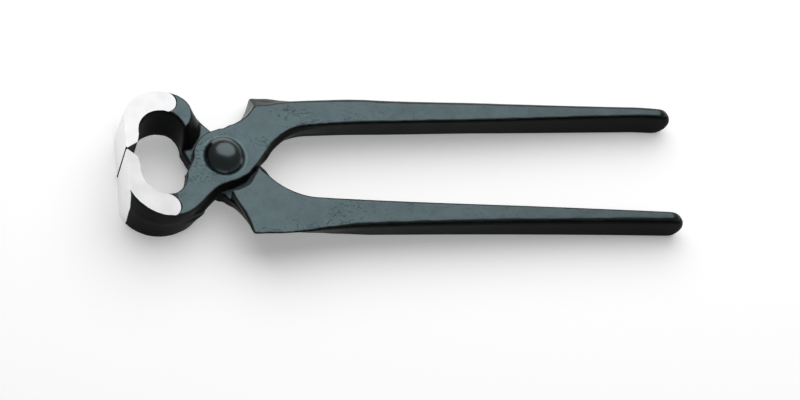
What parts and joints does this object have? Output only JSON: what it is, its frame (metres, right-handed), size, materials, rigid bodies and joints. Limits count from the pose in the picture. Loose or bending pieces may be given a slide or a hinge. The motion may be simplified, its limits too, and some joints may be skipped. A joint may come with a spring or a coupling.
{
  "type": "end cutting nippers",
  "caption": "Carpenter's end cutting nippers: two crossed forged levers on a domed rivet, round mouth, ground cutting nose and long slim handles.",
  "frame": {"origin": "centre of the bounding box on the plane that the nose corners rest on", "axes": "+X along the tool from the nose to the handle ends, +Z along the rivet towards its button head, +Y from the lower handle to the upper one"},
  "size_m": [0.2, 0.0608, 0.0228],
  "materials": {
    "black_forging": "satin black oxide over a forged skin, with the cheeks and nose ground bright",
    "black_rivet": "semi-gloss black oxide"
  },
  "bodies": {
    "rear_body": {"rear_lever": "black_forging", "pivot_rivet": "black_rivet"},
    "front_body": {"front_lever": "black_forging"}
  },
  "joints": [
    {"name": "pivot", "type": "hinge", "parent": "rear_body", "child": "front_body", "pos_m": [-0.0647, 0, 0.0111], "axis": [0, 0, 1], "range_deg": [0, 20]}
  ]
}
